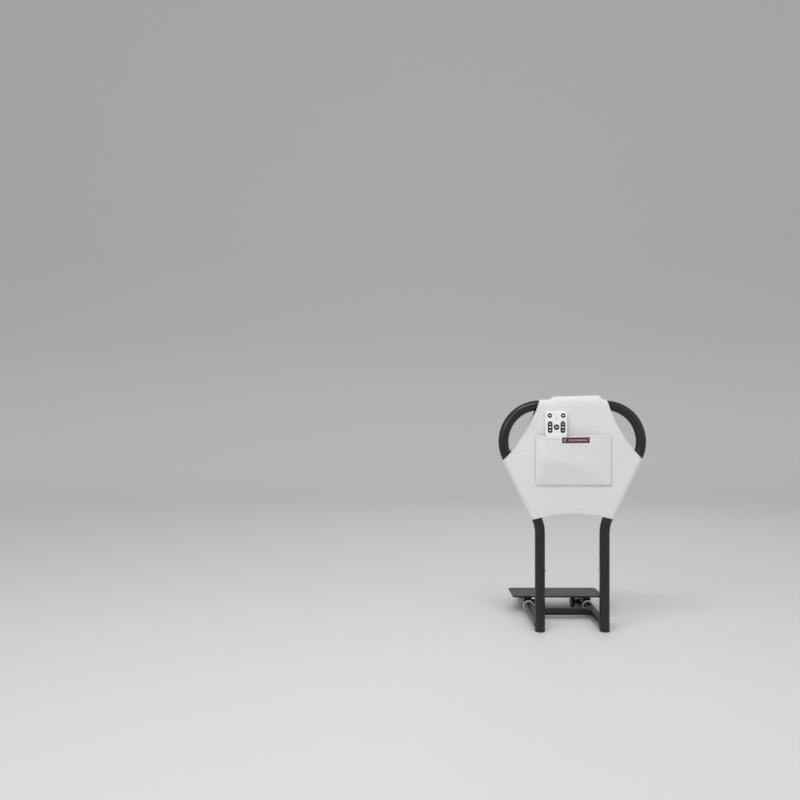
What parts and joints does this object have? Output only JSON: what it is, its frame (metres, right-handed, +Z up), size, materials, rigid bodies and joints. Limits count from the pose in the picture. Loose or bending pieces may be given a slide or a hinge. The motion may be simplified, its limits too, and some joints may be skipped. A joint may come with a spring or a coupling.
{
  "type": "bed assist rail",
  "caption": "Bed assist rail: bent-tube handle loop on two adjustable legs, with a fabric storage cover and pocket holding a handset, and arms that slide into an under-bed mounting plate.",
  "frame": {"origin": "centre of the bolt pattern, on the mounting plate's top face, which meets the underside of the bed", "axes": "+Z up, +Y into the bed, away from the person who uses the rail, +X to the right of a person who faces the bed"},
  "size_m": [0.4638, 0.4428, 0.7415],
  "materials": {
    "black_steel": "satin powder coat",
    "nylon": "matt moulded nylon",
    "bright_steel": "zinc plated",
    "black_plastic": "matt moulded",
    "cover_cloth": "fine plain weave",
    "pad_foam": "closed-cell foam",
    "tape_loop": "looped pile",
    "tape_hook": "hooked pile",
    "label_cloth": "woven label",
    "white_plastic": "satin moulded",
    "key_black": "satin silicone",
    "board": "solder mask",
    "membrane": "matt silicone",
    "cell": "printed sleeve",
    "lens": "clear tinted"
  },
  "bodies": {
    "bed_mount": {"mount_plate": "black_steel", "receiver_left": "black_steel", "receiver_right": "black_steel", "saddles_left": "black_steel", "saddles_right": "black_steel", "bush_left_front": "nylon", "bush_left_rear": "nylon", "bush_right_front": "nylon", "bush_right_rear": "nylon", "lock_boss_left": "black_steel", "lock_boss_right": "black_steel"},
    "stud_left": {"lock_stud_left": "bright_steel"},
    "stud_right": {"lock_stud_right": "bright_steel"},
    "knob_left": {"lock_knob_left": "black_plastic"},
    "knob_right": {"lock_knob_right": "black_plastic"},
    "lower_frame": {"leg_tube_left": "black_steel", "leg_tube_right": "black_steel", "leg_cap_left": "black_plastic", "leg_cap_right": "black_plastic", "arm_tube_left": "black_steel", "arm_tube_right": "black_steel", "arm_cap_left": "black_plastic", "arm_cap_right": "black_plastic", "cross_bar": "black_steel"},
    "upper_frame": {"handle_loop": "black_steel", "button_spring_left": "bright_steel", "button_spring_right": "bright_steel", "top_pad": "pad_foam", "cover_front": "cover_cloth", "cover_back": "cover_cloth", "cover_top": "cover_cloth", "cover_side_left": "cover_cloth", "cover_side_right": "cover_cloth", "cover_gusset_left": "cover_cloth", "cover_gusset_right": "cover_cloth", "cover_bottom": "cover_cloth", "cover_flap_left": "cover_cloth", "cover_flap_right": "cover_cloth", "cover_flap_top": "cover_cloth", "loop_strips": "tape_loop", "hook_strips": "tape_hook", "pocket": "cover_cloth", "pocket_hem": "cover_cloth", "label": "label_cloth", "handset_sleeve": "cover_cloth"},
    "button_left": {"snap_button_left": "bright_steel"},
    "button_right": {"snap_button_right": "bright_steel"},
    "handset": {"handset_front": "white_plastic", "handset_back": "white_plastic", "battery_door": "white_plastic", "batteries": "cell", "circuit_board": "board", "key_membrane": "membrane", "status_lens": "lens"},
    "small_key_left": {"key_top_left": "key_black"},
    "small_key_right": {"key_top_right": "key_black"},
    "centre_key": {"key_centre": "key_black"},
    "rocker_key_left": {"rocker_left": "key_black"},
    "rocker_key_right": {"rocker_right": "key_black"}
  },
  "joints": [
    {"name": "reach_adjust", "type": "slide", "parent": "bed_mount", "child": "lower_frame", "axis": [0, 1, 0], "range_m": [-0.06, 0.04]},
    {"name": "height_adjust", "type": "slide", "parent": "lower_frame", "child": "upper_frame", "axis": [0, 0, 1], "range_m": [0, 0.075], "deforming": ["button_spring_left", "button_spring_right", "snap_button_left", "snap_button_right"]},
    {"name": "stud_advance_left", "type": "slide", "parent": "bed_mount", "child": "stud_left", "axis": [1, 0, 0], "range_m": [0, 0.0025]},
    {"name": "knob_turn_left", "type": "hinge", "parent": "stud_left", "child": "knob_left", "pos_m": [-0.06, 0, -0.034], "axis": [1, 0, 0], "range_deg": [0, 720]},
    {"name": "button_press_left", "type": "slide", "parent": "upper_frame", "child": "button_left", "axis": [-1, 0, 0], "range_m": [0, 0.005], "stiffness_N_per_m": 1500, "deforming": ["button_spring_left"]},
    {"name": "stud_advance_right", "type": "slide", "parent": "bed_mount", "child": "stud_right", "axis": [-1, 0, 0], "range_m": [0, 0.0025]},
    {"name": "knob_turn_right", "type": "hinge", "parent": "stud_right", "child": "knob_right", "pos_m": [0.06, 0, -0.034], "axis": [-1, 0, 0], "range_deg": [0, 720]},
    {"name": "button_press_right", "type": "slide", "parent": "upper_frame", "child": "button_right", "axis": [1, 0, 0], "range_m": [0, 0.005], "stiffness_N_per_m": 1500, "deforming": ["button_spring_right"]},
    {"name": "handset_lift", "type": "slide", "parent": "upper_frame", "child": "handset", "axis": [0, 0, 1], "range_m": [0, 0.095]},
    {"name": "small_key_press_left", "type": "slide", "parent": "handset", "child": "small_key_left", "axis": [0, 1, 0], "range_m": [0, 0.0009], "stiffness_N_per_m": 1500},
    {"name": "rocker_tilt_left", "type": "hinge", "parent": "handset", "child": "rocker_key_left", "pos_m": [-0.0762, -0.30897, 0.5868], "axis": [1, 0, 0], "range_deg": [-4, 4], "stiffness_Nm_per_rad": 0.45},
    {"name": "small_key_press_right", "type": "slide", "parent": "handset", "child": "small_key_right", "axis": [0, 1, 0], "range_m": [0, 0.0009], "stiffness_N_per_m": 1500},
    {"name": "rocker_tilt_right", "type": "hinge", "parent": "handset", "child": "rocker_key_right", "pos_m": [-0.0366, -0.30897, 0.5868], "axis": [1, 0, 0], "range_deg": [-4, 4], "stiffness_Nm_per_rad": 0.45},
    {"name": "centre_key_press", "type": "slide", "parent": "handset", "child": "centre_key", "axis": [0, 1, 0], "range_m": [0, 0.0009], "stiffness_N_per_m": 1500}
  ],
  "couplings": [
    {"joint": "stud_advance_left", "follows": "knob_turn_left", "m_per_rad": 0.00019894},
    {"joint": "stud_advance_right", "follows": "knob_turn_right", "m_per_rad": 0.00019894}
  ]
}
